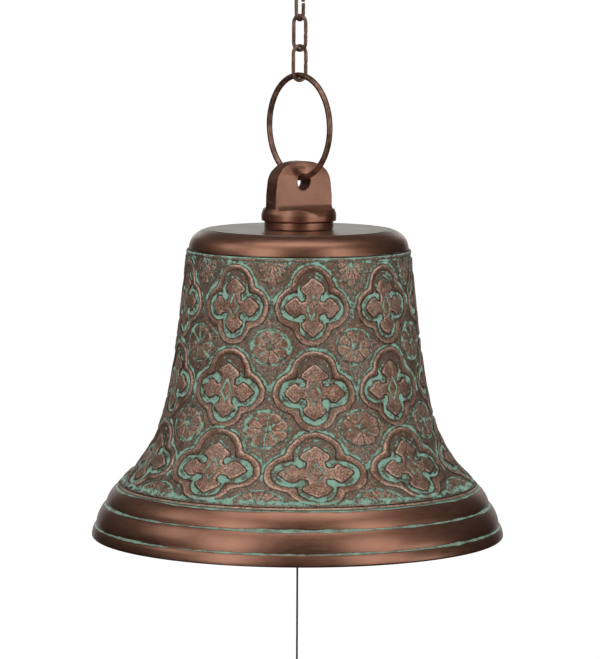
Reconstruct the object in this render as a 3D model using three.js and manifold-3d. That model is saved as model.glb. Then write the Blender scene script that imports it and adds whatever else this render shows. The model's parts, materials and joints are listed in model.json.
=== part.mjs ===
// A large ornamental bell with a copper finish, hung on a chain by a plain ring, rung by a clapper and pull string.
// Millimetres, +Z up. The origin is the saddle of the S-hook, the point that bears on whatever holds the bell up.
// The hanger lug's broad side faces -Y, and +X runs along its width.

import * as THREE from 'three';
import * as BufferGeometryUtils from 'three/addons/utils/BufferGeometryUtils.js';
import Module from 'manifold-3d';

const wasm = await Module();
wasm.setup();

// ---------- driving dimensions ----------

const GAP = 0.3; // air between pieces that touch

// Bell shell. Heights here and below are above the flat top of the crown.
const LIP_RADIUS = 140;
const LIP_BOTTOM = -208.9;
const WALL = 3;
const CROWN_EDGE_RADIUS = 62.8;
const SEAM_CROWN = -14; // top edge of the embossed waist
const SEAM_LIP = -174.3; // joint of waist and lip ring
const CROWN_SKIRT = 8; // depth of the crown's skirt inside the waist
const ROUND_SEGMENTS = 40;

// Hanger lug and its seat
const BOLT_RADIUS = 4;
const SEAT_RADIUS = 23.5;
const SEAT_TOP = 5.3;
const COLLAR_RADIUS = 25.3;
const COLLAR_TOP = 10.5;
const LUG_TOP = 45.8;
const LUG_HALF_WIDTH = 24;
const LUG_HALF_THICKNESS = 6;
const LUG_HOLE_RADIUS = 5.7;

// Hanging ring
const RING_WIRE = 1.9; // wire radii from here on
const RING_RADIUS = 34.45;
const RING_CENTRE = 68.95;

// Chain
const LINK_WIRE = 1.25;
const LINK_LENGTH = 25.6;
const LINK_WIDTH = 12.8;
const LINK_SEAM = 0.5; // open butt joint in one leg
const LINK_TURNS = [0, -75, 27, -58]; // degrees about Z, lowest link first

// S-hook
const HOOK_WIRE = 2;
const HOOK_LOWER_RADIUS = 8; // to the wire's centre
const HOOK_UPPER_RADIUS = 12;
const HOOK_LEAN = 40; // degrees that the spine leans
const HOOK_TURN = 30;

// Clapper
const EYE_WIRE = 2.5;
const EYE_RADIUS = 8;
const EYE_CENTRE = -32;
const CLAPPER_RING_WIRE = 1.6;
const CLAPPER_RING_RADIUS = 8;
const ROD_EYE_WIRE = 2.2;
const ROD_EYE_RADIUS = 7;
const ROD_RADIUS = 3.5;
const BALL_RADIUS = 21;
const BALL_CENTRE = -189;
const BALL_FLAT = 7; // radius of the flats at the ball's top and bottom
const TAIL_EYE_WIRE = 1.3;
const TAIL_EYE_RADIUS = 3.4;

// Pull string
const STRING_RADIUS = 0.7;
const LOOP_RADIUS = 3;
const DROP_TOP = -299;
const PULL_LENGTH = 22;
const PULL_RADIUS = 6.5;

// ---------- heights that follow from them ----------

const RAD = Math.PI / 180;
const LINK_PITCH = LINK_LENGTH - 4 * LINK_WIRE - GAP;
const RING_TOP_INSIDE = RING_CENTRE + RING_RADIUS - RING_WIRE;
const LINK_1_BOTTOM = RING_TOP_INSIDE - GAP - 2 * LINK_WIRE;
const linkBottom = (i) => LINK_1_BOTTOM + i * LINK_PITCH;
const LINK_COUNT = LINK_TURNS.length;

// The hook's lower bow carries the top link, and its two bows stand one over the other.
const HOOK_LOWER_CENTRE =
  linkBottom(LINK_COUNT - 1) + LINK_LENGTH - 2 * LINK_WIRE - GAP - HOOK_WIRE + HOOK_LOWER_RADIUS;
const HOOK_SPINE = ((HOOK_LOWER_RADIUS + HOOK_UPPER_RADIUS) * Math.cos(HOOK_LEAN * RAD)) / Math.sin(HOOK_LEAN * RAD);
const HOOK_UPPER_CENTRE =
  HOOK_LOWER_CENTRE +
  HOOK_SPINE * Math.cos(HOOK_LEAN * RAD) +
  (HOOK_LOWER_RADIUS + HOOK_UPPER_RADIUS) * Math.sin(HOOK_LEAN * RAD);
const SADDLE = HOOK_UPPER_CENTRE + HOOK_UPPER_RADIUS - HOOK_WIRE;

const EYE_WIRE_BOTTOM = EYE_CENTRE - EYE_RADIUS; // centre of the eye's lowest wire
const CLAPPER_RING_CENTRE = EYE_WIRE_BOTTOM + EYE_WIRE + GAP + CLAPPER_RING_WIRE - CLAPPER_RING_RADIUS;
const CLAPPER_RING_BOTTOM = CLAPPER_RING_CENTRE - CLAPPER_RING_RADIUS;
const ROD_EYE_CENTRE = CLAPPER_RING_BOTTOM + CLAPPER_RING_WIRE + GAP + ROD_EYE_WIRE - ROD_EYE_RADIUS;
const BALL_HALF_HEIGHT = Math.sqrt(BALL_RADIUS ** 2 - BALL_FLAT ** 2);
const TAIL_NUT_TOP = BALL_CENTRE - BALL_HALF_HEIGHT - GAP;
const TAIL_NUT_HEIGHT = 7;
const TAIL_EYE_CENTRE = TAIL_NUT_TOP - TAIL_NUT_HEIGHT - TAIL_EYE_RADIUS + 0.5;
const LOOP_CENTRE = TAIL_EYE_CENTRE - TAIL_EYE_RADIUS + TAIL_EYE_WIRE + GAP + STRING_RADIUS - LOOP_RADIUS;
const KNOT_TOP = LOOP_CENTRE - LOOP_RADIUS - STRING_RADIUS - GAP;
const KNOT_LENGTH = 4;

// ---------- solids ----------

// A surface of revolution about Z. The profile is [radius, height] pairs, either from axis to axis or a closed loop.
function turned(profile, segments = ROUND_SEGMENTS) {
  const points = profile.map(([r, z]) => new THREE.Vector2(r, z));
  if (profile[0][0] > 0) points.push(points[0].clone());
  if (!THREE.ShapeUtils.isClockWise(points)) return new THREE.LatheGeometry(points, segments).rotateX(Math.PI / 2);
  return new THREE.LatheGeometry(points.reverse(), segments).rotateX(Math.PI / 2);
}

// A curve in the XZ plane, from a flat path whose second coordinate is the height
class UprightCurve extends THREE.Curve {
  constructor(path) {
    super();
    this.path = path;
  }

  getPoint(t, target = new THREE.Vector3()) {
    const p = this.path.getPointAt(t);
    return target.set(p.x, 0, p.y);
  }
}

function roundSection(radius, sides = 8) {
  const corners = [];
  for (let i = 0; i < sides; i++) {
    const a = ((i + 0.5) / sides) * 2 * Math.PI;
    corners.push(new THREE.Vector2(radius * Math.cos(a), radius * Math.sin(a)));
  }
  return new THREE.Shape(corners);
}

function bentWire(curve, radius, steps) {
  return new THREE.ExtrudeGeometry(roundSection(radius), { steps, extrudePath: curve, bevelEnabled: false });
}

// A closed wire ring standing in the XZ plane
function wireRing(radius, wire, steps = 20) {
  return new THREE.TorusGeometry(radius, wire, 8, steps).rotateX(Math.PI / 2);
}

// An outline in XZ made solid to both sides of Y = 0
function slab(shape, halfThickness, curveSegments = 8) {
  const options = { depth: 2 * halfThickness, bevelEnabled: false, curveSegments };
  return new THREE.ExtrudeGeometry(shape, options).rotateX(Math.PI / 2).translate(0, halfThickness, 0);
}

function toSolid(geometry) {
  const bare = geometry.clone();
  bare.deleteAttribute('normal');
  bare.deleteAttribute('uv');
  const merged = BufferGeometryUtils.mergeVertices(bare, 1e-4);
  const index = [];
  for (let i = 0; i < merged.index.count; i += 3) {
    const corners = [merged.index.getX(i), merged.index.getX(i + 1), merged.index.getX(i + 2)];
    if (new Set(corners).size === 3) index.push(...corners);
  }
  const vertProperties = new Float32Array(merged.attributes.position.array);
  return new wasm.Manifold(new wasm.Mesh({ numProp: 3, vertProperties, triVerts: new Uint32Array(index) }));
}

function toGeometry(solid) {
  const mesh = solid.getMesh();
  const geometry = new THREE.BufferGeometry();
  geometry.setAttribute('position', new THREE.BufferAttribute(mesh.vertProperties, 3));
  geometry.setIndex(new THREE.BufferAttribute(mesh.triVerts, 1));
  return geometry;
}

const joined = (...geometries) => toGeometry(geometries.map(toSolid).reduce((a, b) => a.add(b)));

// ---------- materials ----------

const metal = (color, roughness) => new THREE.MeshStandardMaterial({ color, roughness, metalness: 1 });
const copper = () => metal(0x9a6a55, 0.35);
const patina = () => metal(0x7d6a58, 0.55);
const wireBronze = () => metal(0x7a5647, 0.4);
const steel = () => metal(0x8a8a88, 0.45);
const iron = () => metal(0x4a4541, 0.6);
const cord = () => new THREE.MeshStandardMaterial({ color: 0x1b1b1b, roughness: 0.9, metalness: 0 });

const bell = new THREE.Group();
bell.position.z = -SADDLE;

function piece(name, geometry, material, z = 0, turn = 0) {
  const mesh = new THREE.Mesh(geometry, material);
  mesh.name = name;
  mesh.position.z = z;
  mesh.rotation.z = turn * RAD;
  bell.add(mesh);
  return mesh;
}

// ---------- chain and hook ----------

function hookGeometry() {
  const lean = HOOK_LEAN * RAD;
  const lower = HOOK_LOWER_CENTRE;
  const upper = HOOK_UPPER_CENTRE;
  const tip = 45 * RAD; // how far each bow's tip stops short of closing on the spine
  const path = new THREE.Path();
  path.absarc(0, lower, HOOK_LOWER_RADIUS, Math.PI + lean - tip, 2 * Math.PI + lean, false);
  path.absarc(0, upper, HOOK_UPPER_RADIUS, Math.PI + lean, lean - tip, true);
  return bentWire(new UprightCurve(path), HOOK_WIRE, 36);
}

function linkGeometry() {
  const half = LINK_WIDTH / 2 - LINK_WIRE;
  const bow = LINK_LENGTH / 2 - LINK_WIDTH / 2;
  const path = new THREE.Path();
  path.moveTo(half, LINK_SEAM / 2);
  path.lineTo(half, bow);
  path.absarc(0, bow, half, 0, Math.PI, false);
  path.lineTo(-half, -bow);
  path.absarc(0, -bow, half, Math.PI, 2 * Math.PI, false);
  path.lineTo(half, -LINK_SEAM / 2);
  return bentWire(new UprightCurve(path), LINK_WIRE, 26);
}

piece('s_hook', hookGeometry(), wireBronze(), 0, HOOK_TURN);
LINK_TURNS.forEach((turn, i) => {
  piece(`chain_link_${i + 1}`, linkGeometry(), wireBronze(), linkBottom(i) + LINK_LENGTH / 2, turn);
});
piece('hanging_ring', wireRing(RING_RADIUS, RING_WIRE, 40), wireBronze(), RING_CENTRE, 90);

// ---------- bell shell ----------

// The outline of the waist, a straight taper that flares towards the lip
const waistCurve = new THREE.SplineCurve(
  [
    [76.6, -18],
    [79.3, -45],
    [82.9, -75],
    [87.4, -105],
    [93.6, -130],
    [101.4, -148],
    [110.8, -161],
    [118.3, -168.6],
    [123, SEAM_LIP + GAP],
  ].map(([r, z]) => new THREE.Vector2(r, z)),
);

// A point of the waist's wall: t runs from its top to its bottom, depth is measured inwards from the outside
function waistPoint(t, depth) {
  const p = waistCurve.getPoint(t);
  const along = waistCurve.getTangent(t);
  return [p.x + along.y * depth, p.y - along.x * depth];
}

function steps(count, point) {
  return Array.from({ length: count + 1 }, (_, i) => point(i / count));
}

const crownProfile = [
  [BOLT_RADIUS + GAP, 0],
  [CROWN_EDGE_RADIUS, 0],
  [68.3, -2.9],
  [71.4, -5.5],
  [73.2, -8.3],
  [74.2, -12],
  [74.5, SEAM_CROWN + GAP],
  [73.2, SEAM_CROWN + GAP],
  [73.2, SEAM_CROWN - CROWN_SKIRT],
  [70.8, SEAM_CROWN - CROWN_SKIRT],
  [70.8, -12],
  [68.6, -7.8],
  [62, -WALL],
  [BOLT_RADIUS + GAP, -WALL],
];

const INNER_WALL_END = 0.92; // how far down the waist its inner wall runs before it slants out to the seam

const waistProfile = [
  [73.6, SEAM_CROWN],
  [76, SEAM_CROWN],
  [76.8, SEAM_CROWN - 0.8],
  [76.8, SEAM_CROWN - 2],
  ...steps(12, (t) => waistPoint(t, 0)),
  [119.4, SEAM_LIP + GAP],
  ...steps(8, (t) => waistPoint(INNER_WALL_END * (1 - t), WALL)),
];

// Three steps, the upper two rounded over, with a groove above each
const lipProfile = [
  [119.2, SEAM_LIP],
  [122.2, SEAM_LIP],
  [123.4, SEAM_LIP - 0.3],
  [125.6, -177.2],
  [127.7, -180],
  [129.5, -183],
  [130.2, -186],
  [131.1, -186.7],
  [132.3, -188.3],
  [134, -191],
  [135.4, -194],
  [136.4, -197],
  [136.9, -200.4],
  [138.2, -201.2],
  [139, -203],
  [139.8, -206],
  [LIP_RADIUS, -207.9],
  [139, LIP_BOTTOM],
  [131.5, LIP_BOTTOM],
  [127.5, -201],
  [123, -190],
  [119.6, -180],
];

piece('crown_cap', turned(crownProfile), copper());
piece('waist_shell', turned(waistProfile), patina());
piece('lip_ring', turned(lipProfile), copper());

// ---------- hanger lug ----------

function lugGeometry() {
  const low = SEAT_TOP + GAP;
  const wide = COLLAR_RADIUS + 1;
  const high = LUG_TOP + 1;
  const shoulder = COLLAR_TOP + 2.1;
  const round = turned([
    [0, low],
    [COLLAR_RADIUS, low],
    [COLLAR_RADIUS, COLLAR_TOP],
    [LUG_HALF_WIDTH, shoulder],
    [LUG_HALF_WIDTH, high],
    [0, high],
  ]);

  // Seen from the front, the sides lean in a little and run over into a broad arch.
  const front = new THREE.Shape();
  front.moveTo(-wide, low - 1);
  front.lineTo(wide, low - 1);
  front.lineTo(wide, shoulder);
  front.lineTo(LUG_HALF_WIDTH, shoulder);
  front.lineTo(22.4, 30);
  front.bezierCurveTo(21.6, 40, 14, LUG_TOP, 0, LUG_TOP);
  front.bezierCurveTo(-14, LUG_TOP, -21.6, 40, -22.4, 30);
  front.lineTo(-LUG_HALF_WIDTH, shoulder);
  front.lineTo(-wide, shoulder);

  // Seen from the side, the round foot steps in to the flat tongue through a small fillet.
  const shelf = 14.8;
  const fillet = 3;
  const side = new THREE.Shape();
  side.moveTo(-wide, low - 1);
  side.lineTo(wide, low - 1);
  side.lineTo(wide, COLLAR_TOP);
  side.lineTo(wide - 4, shelf);
  side.lineTo(LUG_HALF_THICKNESS + fillet, shelf);
  side.absarc(LUG_HALF_THICKNESS + fillet, shelf + fillet, fillet, 1.5 * Math.PI, Math.PI, true);
  side.lineTo(LUG_HALF_THICKNESS, high);
  side.lineTo(-LUG_HALF_THICKNESS, high);
  side.absarc(-LUG_HALF_THICKNESS - fillet, shelf + fillet, fillet, 0, 1.5 * Math.PI, true);
  side.lineTo(4 - wide, shelf);
  side.lineTo(-wide, COLLAR_TOP);

  const hole = new THREE.CylinderGeometry(LUG_HOLE_RADIUS, LUG_HOLE_RADIUS, 4 * LUG_HALF_THICKNESS, 24);
  const holeTop = RING_CENTRE - Math.sqrt((RING_RADIUS - RING_WIRE) ** 2 - LUG_HALF_THICKNESS ** 2) + GAP;
  const bore = new THREE.CylinderGeometry(BOLT_RADIUS + GAP, BOLT_RADIUS + GAP, 20, 20);

  const solid = toSolid(round)
    .intersect(toSolid(slab(front, wide)))
    .intersect(toSolid(slab(side, wide).rotateZ(Math.PI / 2)))
    .subtract(toSolid(hole.translate(0, 0, holeTop - LUG_HOLE_RADIUS)))
    .subtract(toSolid(bore.rotateX(Math.PI / 2).translate(0, 0, low)));
  return toGeometry(solid);
}

const washer = (inner, outer, top, height, segments = 32) =>
  turned([[inner, top], [outer, top], [outer, top - height], [inner, top - height]], segments);

function hexNut(acrossFlats, bore, top, height) {
  const outside = new THREE.CylinderGeometry(acrossFlats / Math.sqrt(3), acrossFlats / Math.sqrt(3), height, 6);
  const hole = new THREE.CylinderGeometry(bore, bore, height + 2, 20);
  const solid = toSolid(outside).subtract(toSolid(hole));
  return toGeometry(solid).rotateX(Math.PI / 2).translate(0, 0, top - height / 2);
}

piece('hanger_lug', lugGeometry(), copper());
piece('lug_seat', washer(BOLT_RADIUS + GAP, SEAT_RADIUS, SEAT_TOP, SEAT_TOP - GAP, 40), copper());

// ---------- fixing bolt inside the crown ----------

const WASHER_TOP = -WALL - GAP;
const WASHER_HEIGHT = 1.8;
const LOCK_TOP = WASHER_TOP - WASHER_HEIGHT - GAP;
const LOCK_HEIGHT = 2;
const NUT_TOP = LOCK_TOP - LOCK_HEIGHT - GAP;
const NUT_HEIGHT = 6.5;
const BOLT_TOP = 14.5;

function eyeboltGeometry() {
  const shankBottom = EYE_CENTRE + EYE_RADIUS - 1;
  const shank = turned([[0, BOLT_TOP], [3.2, BOLT_TOP], [BOLT_RADIUS, BOLT_TOP - 0.8], [BOLT_RADIUS, shankBottom],
    [0, shankBottom]], 20);
  return joined(shank, wireRing(EYE_RADIUS, EYE_WIRE).translate(0, 0, EYE_CENTRE));
}

// A spring washer: one turn of square wire, cut through and sprung slightly apart
function lockWasherGeometry() {
  const shape = new THREE.Shape();
  const cut = 5 * RAD;
  shape.absarc(0, 0, 7.2, cut, 2 * Math.PI - cut, false);
  shape.absarc(0, 0, BOLT_RADIUS + GAP, 2 * Math.PI - cut, cut, true);
  const options = { depth: LOCK_HEIGHT, bevelEnabled: false, curveSegments: 12 };
  return new THREE.ExtrudeGeometry(shape, options).translate(0, 0, LOCK_TOP - LOCK_HEIGHT);
}

piece('crown_washer', washer(BOLT_RADIUS + GAP, 14, WASHER_TOP, WASHER_HEIGHT), steel());
piece('lock_washer', lockWasherGeometry(), steel());
piece('crown_nut', hexNut(13, BOLT_RADIUS + GAP, NUT_TOP, NUT_HEIGHT), steel());
piece('clapper_eyebolt', eyeboltGeometry(), steel());

// ---------- clapper ----------

function rodGeometry() {
  const top = ROD_EYE_CENTRE - ROD_EYE_RADIUS + 1;
  const bottom = TAIL_NUT_TOP - 5;
  const rod = turned([[0, top], [ROD_RADIUS, top], [ROD_RADIUS, bottom], [0, bottom]], 20);
  return joined(rod, wireRing(ROD_EYE_RADIUS, ROD_EYE_WIRE).translate(0, 0, ROD_EYE_CENTRE));
}

function ballGeometry() {
  const rest = Math.asin(BALL_FLAT / BALL_RADIUS);
  const bore = ROD_RADIUS + GAP;
  const wall = steps(10, (t) => {
    const a = rest + t * (Math.PI - 2 * rest);
    return [BALL_RADIUS * Math.sin(a), BALL_RADIUS * Math.cos(a)];
  });
  return turned([[bore, BALL_HALF_HEIGHT], ...wall, [bore, -BALL_HALF_HEIGHT]], 28);
}

// A round nut closed at the bottom, with a small wire eye that the string is tied to
function tailEyeGeometry() {
  const top = TAIL_NUT_TOP;
  const bottom = top - TAIL_NUT_HEIGHT;
  const bore = ROD_RADIUS + GAP;
  const nut = turned([[bore, top], [6, top], [6, bottom + 2], [4, bottom], [0, bottom], [0, bottom + 1.5],
    [bore, bottom + 1.5]], 20);
  return joined(nut, wireRing(TAIL_EYE_RADIUS, TAIL_EYE_WIRE, 16).translate(0, 0, TAIL_EYE_CENTRE));
}

piece('clapper_ring', wireRing(CLAPPER_RING_RADIUS, CLAPPER_RING_WIRE), steel(), CLAPPER_RING_CENTRE, 90);
piece('clapper_rod', rodGeometry(), iron());
piece('clapper_nut', hexNut(13, ROD_RADIUS + GAP, BALL_CENTRE + BALL_HALF_HEIGHT + GAP + 5, 5), steel());
piece('clapper_ball', ballGeometry(), iron(), BALL_CENTRE);
piece('clapper_tail_eye', tailEyeGeometry(), steel());

// ---------- pull string ----------

function knotGeometry(top, length, radius) {
  const wall = steps(6, (t) => [radius * Math.sin(Math.PI * (0.08 + 0.84 * t)), top - length * t]);
  return turned([[0, top], ...wall, [0, top - length]], 12);
}

function stringGeometry(top, bottom) {
  const line = new THREE.LineCurve3(new THREE.Vector3(0, 0, top), new THREE.Vector3(0, 0, bottom));
  return bentWire(line, STRING_RADIUS, 24);
}

// A small turned drop with a hole down its middle for the string
function pullGeometry(top) {
  const bore = STRING_RADIUS + GAP;
  const drop = steps(10, (t) => {
    const swell = Math.sin(Math.PI * t ** 1.6) * 0.8 + 0.36 * t + 0.26 * (1 - t);
    return [PULL_RADIUS * swell, top - PULL_LENGTH * t];
  });
  return turned([[bore, top], ...drop, [bore, top - PULL_LENGTH]], 16);
}

// The drop rests on the knot at the string's end, which is level with the drop's foot
const STRING_END = DROP_TOP - PULL_LENGTH;

piece('string_loop', wireRing(LOOP_RADIUS, STRING_RADIUS, 16), cord(), LOOP_CENTRE, 90);
piece('string_knot', knotGeometry(KNOT_TOP, KNOT_LENGTH, 2.1), cord());
piece('string', stringGeometry(KNOT_TOP - KNOT_LENGTH - GAP, STRING_END), cord());
piece('pull_drop', pullGeometry(DROP_TOP), copper());
piece('string_end_knot', knotGeometry(STRING_END - GAP, 3.8, 2.3), cord());

export default bell;
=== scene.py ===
"""A hanging bell with an embossed, patinated waist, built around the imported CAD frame. Metres, +Z up."""

import json
import math

import bmesh
import bpy
import numpy as np
from mathutils import Matrix, Vector


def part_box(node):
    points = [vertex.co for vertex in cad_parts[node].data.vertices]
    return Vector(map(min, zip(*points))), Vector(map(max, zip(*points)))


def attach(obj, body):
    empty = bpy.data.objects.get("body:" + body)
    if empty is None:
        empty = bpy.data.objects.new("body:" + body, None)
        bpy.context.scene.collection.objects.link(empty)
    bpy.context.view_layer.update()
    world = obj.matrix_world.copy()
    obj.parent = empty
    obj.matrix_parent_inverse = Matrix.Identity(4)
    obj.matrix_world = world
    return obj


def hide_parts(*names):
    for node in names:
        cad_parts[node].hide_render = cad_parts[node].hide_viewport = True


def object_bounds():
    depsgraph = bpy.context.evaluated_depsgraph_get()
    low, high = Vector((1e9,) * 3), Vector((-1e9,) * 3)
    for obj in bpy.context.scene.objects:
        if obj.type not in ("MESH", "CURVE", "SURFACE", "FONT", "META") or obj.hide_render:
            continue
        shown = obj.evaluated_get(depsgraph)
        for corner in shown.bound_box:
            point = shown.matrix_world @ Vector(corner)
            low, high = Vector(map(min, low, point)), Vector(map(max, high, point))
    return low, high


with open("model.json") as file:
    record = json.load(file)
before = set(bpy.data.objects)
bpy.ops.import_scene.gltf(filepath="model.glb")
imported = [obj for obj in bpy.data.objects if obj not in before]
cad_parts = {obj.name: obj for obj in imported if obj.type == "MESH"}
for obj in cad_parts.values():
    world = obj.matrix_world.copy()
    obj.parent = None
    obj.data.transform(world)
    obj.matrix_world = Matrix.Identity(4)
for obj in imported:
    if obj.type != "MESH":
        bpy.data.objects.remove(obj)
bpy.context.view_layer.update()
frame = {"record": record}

MM = 0.001
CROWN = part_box("crown_cap")[1][2]  # height of the crown's flat top


def local(height):
    """A height in metres as millimetres above the crown."""
    return (height - CROWN) / MM


def levels(node):
    """The lowest and highest level of a CAD node, in millimetres above the crown."""
    low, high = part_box(node)
    return local(low[2]), local(high[2])


def middle_level(node):
    low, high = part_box(node)
    return local((low[2] + high[2]) / 2)


def reach(node, axis=0):
    """Half a CAD node's size along an axis, in millimetres."""
    low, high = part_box(node)
    return (high[axis] - low[axis]) / MM / 2


# -------- camera

VIEW_TURN = -36.0  # degrees round the bell from its -Y side
VIEW_PITCH = 5.805  # degrees below level
VIEW_ROLL = 0.26
VIEW_YAW = 0.024
VIEW_DISTANCE = 2.6258
VIEW_RISE = 0.1985  # above the crown
FOCAL_LENGTH = 213.05


def linked(name, data):
    obj = bpy.data.objects.new(name, data)
    bpy.context.scene.collection.objects.link(obj)
    return obj


def make_camera():
    data = bpy.data.cameras.new("camera")
    data.lens = FOCAL_LENGTH
    data.sensor_width = 36
    data.clip_end = 1000
    camera = linked("camera", data)
    turn = math.radians(VIEW_TURN)
    place = Vector((math.sin(turn), -math.cos(turn), 0)) * VIEW_DISTANCE
    place.z = CROWN + VIEW_RISE
    camera.matrix_world = (
        Matrix.Translation(place)
        @ Matrix.Rotation(turn - math.radians(VIEW_YAW), 4, "Z")
        @ Matrix.Rotation(math.radians(90 - VIEW_PITCH), 4, "X")
        @ Matrix.Rotation(math.radians(VIEW_ROLL), 4, "Z")
    )
    bpy.context.scene.camera = camera


make_camera()


# -------- meshes


def recalculate(obj):
    """Turns the faces outwards."""
    work = bmesh.new()
    work.from_mesh(obj.data)
    bmesh.ops.recalc_face_normals(work, faces=work.faces)
    work.to_mesh(obj.data)
    work.free()


def new_object(name, verts, faces, sharp=40):
    """A smooth-shaded object from vertices in millimetres. Edges of more than sharp degrees stay sharp."""
    verts = np.asarray(verts).reshape(-1, 3) * MM
    verts[:, 2] += CROWN
    mesh = bpy.data.meshes.new(name)
    mesh.from_pydata(verts, [], faces)
    mesh.validate()
    mesh.polygons.foreach_set("use_smooth", np.ones(len(mesh.polygons), bool))
    if sharp is not None:
        mesh.set_sharp_from_angle(angle=math.radians(sharp))
    obj = linked(name, mesh)
    recalculate(obj)
    return obj


def finish_piece(obj, material, node):
    """The piece takes over from its CAD node: it gets the material, joins the node's body, and the node is
    hidden.
    """
    obj.data.materials.append(material)
    body = next(b for b, nodes in frame["record"]["behaviour"]["bodies"].items() if node in nodes)
    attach(obj, body)
    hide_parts(node)
    return obj


def add_values(obj, name, values):
    """A number at each vertex, which a material can read."""
    layer = obj.data.attributes.new(name, "FLOAT", "POINT")
    layer.data.foreach_set("value", np.asarray(values, np.float32).ravel())


def full_turn(count):
    return np.linspace(0, 2 * np.pi, count, endpoint=False)


def hump(x, width):
    """1 where x is 0, falling to nearly nothing by twice the width."""
    return np.exp(-((x / width) ** 2))


def ring_faces(rows, columns, close_rows=False):
    """Quads of a grid whose columns run round and close on themselves."""
    here = np.arange(columns)
    after = np.roll(here, -1)
    quads = []
    for i in range(rows if close_rows else rows - 1):
        a, b = i * columns, (i + 1) % rows * columns
        quads.append(np.stack([a + here, b + here, b + after, a + after], axis=1))
    return np.concatenate(quads)


def tube_faces(rows, columns, closed):
    """The faces of a closed loop of rows, or of an open tube with a cap at each end."""
    faces = [list(f) for f in ring_faces(rows, columns, close_rows=closed)]
    cap = np.arange(columns)
    return faces if closed else [*faces, list(cap), list((rows - 1) * columns + cap[::-1])]


def softened(points, steps=4):
    """The outline with its corners rounded. A point is (x, y) or (x, y, reach of the rounding)."""
    out = []
    for i, point in enumerate(points):
        here = np.array(point[:2], float)
        cut = point[2] if len(point) > 2 else 0
        if cut == 0 or i in (0, len(points) - 1):
            out.append(here)
            continue
        sides = [np.array(points[k][:2], float) - here for k in (i - 1, i + 1)]
        start, end = (here + v / np.linalg.norm(v) * min(cut, 0.48 * np.linalg.norm(v)) for v in sides)
        for t in np.linspace(0, 1, steps + 1):
            out.append((1 - t) ** 2 * start + 2 * t * (1 - t) * here + t**2 * end)
    return np.array(out)


def densified(points, spacing):
    """The closed outline with points added so that none are further apart than spacing."""
    out = []
    for here, there in zip(points, np.roll(points, -1, axis=0)):
        count = max(1, int(math.ceil(np.linalg.norm(there - here) / spacing)))
        out += [here + (there - here) * t / count for t in range(count)]
    return np.array(out)


def along_spline(knots, spacing):
    """Points a fixed distance apart on a Catmull-Rom spline through the knots."""
    k = np.array(knots, float)
    k = np.vstack([2 * k[0] - k[1], k, 2 * k[-1] - k[-2]])
    dense = []
    for i in range(1, len(k) - 2):
        t = np.linspace(0, 1, 60, endpoint=False)[:, None]
        a, b, c, d = k[i - 1 : i + 3]
        bend = (2 * a - 5 * b + 4 * c - d) * t**2 + (3 * b - a - 3 * c + d) * t**3
        dense.append(0.5 * (2 * b + (c - a) * t + bend))
    return respaced(np.vstack([*dense, k[-2]]), spacing)


def respaced(points, spacing):
    """The polyline's points moved to be evenly spaced along it."""
    run = np.concatenate([[0], np.cumsum(np.linalg.norm(np.diff(points, axis=0), axis=1))])
    count = max(2, int(round(run[-1] / spacing)) + 1)
    at = np.linspace(0, run[-1], count)
    return np.stack([np.interp(at, run, points[:, i]) for i in range(points.shape[1])], axis=1)


def anticlockwise(profile):
    r, z = profile.T
    area = np.sum(r * np.roll(z, -1) - np.roll(r, -1) * z)
    return profile[::-1] if area < 0 else profile


def revolved(profile, segments):
    """The points of a profile of (radius, height) turned about Z, by point and turn."""
    turn = full_turn(segments)
    r, z = profile[:, 0:1], profile[:, 1:2]
    return np.stack([r * np.cos(turn), r * np.sin(turn), z + 0 * turn], axis=2)


def turned_piece(name, profile, segments=192, closed=True, wobble=0.0, sharp=40):
    """A turned object from a profile that is a closed loop, or that starts and ends near the axis."""
    profile = anticlockwise(profile)
    grid = revolved(profile, segments)
    if wobble:
        turn = full_turn(segments)
        swell = 1 + wobble * (np.sin(2 * turn + 0.6) + 0.6 * np.sin(3 * turn + 2) + 0.4 * np.sin(5 * turn))
        grid[:, :, :2] *= swell[None, :, None]
    return new_object(name, grid, tube_faces(len(profile), segments, closed), sharp)


def swept(name, path, radii, sides=16, closed=False, section=None):
    """A tube along a path, with its own radius at each point, and chamfered ends when it is open."""
    path = np.asarray(path, float)
    count = len(path)
    radii = np.broadcast_to(radii, (count,)).astype(float)
    ahead = np.roll(path, -1, axis=0) - np.roll(path, 1, axis=0) if closed else np.gradient(path, axis=0)
    ahead /= np.linalg.norm(ahead, axis=1)[:, None]
    side = np.cross(ahead[0], [0.31, 0.95, 0.05])
    side /= np.linalg.norm(side)
    frames = []
    for tangent in ahead:
        side = side - tangent * np.dot(side, tangent)
        side /= np.linalg.norm(side)
        frames.append((side, np.cross(tangent, side)))
    if not closed:
        path, radii, frames = with_chamfered_ends(path, radii, frames, ahead)
        count = len(path)
    turn = full_turn(sides)
    shape = np.ones((count, sides)) if section is None else section(count, turn)
    verts = np.empty((count, sides, 3))
    for i, (u, v) in enumerate(frames):
        r = radii[i] * shape[i]
        verts[i] = path[i] + r[:, None] * (np.cos(turn)[:, None] * u + np.sin(turn)[:, None] * v)
    return new_object(name, verts, tube_faces(count, sides, closed), 60)


def with_chamfered_ends(path, radii, frames, ahead):
    """Makes the sections at a tube's ends smaller, and adds a fuller one just inside each."""
    head = path[0] + 0.175 * radii[0] * ahead[0]
    tail = path[-1] - 0.175 * radii[-1] * ahead[-1]
    path = np.array([path[0], head, *path[1:-1], tail, path[-1]])
    radii = np.array([0.62 * radii[0], 0.9 * radii[0], *radii[1:-1], 0.9 * radii[-1], 0.62 * radii[-1]])
    return path, radii, [frames[0], *frames, frames[-1]]


def level_arc(radius, height, a):
    """Points round the bell's axis at angles a."""
    return np.stack([radius * np.cos(a), radius * np.sin(a), height + 0 * a], axis=1)


def turned_about_z(points, degrees):
    a = math.radians(degrees)
    spin = np.array([[math.cos(a), -math.sin(a), 0], [math.sin(a), math.cos(a), 0], [0, 0, 1]])
    return np.asarray(points) @ spin.T


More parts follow.
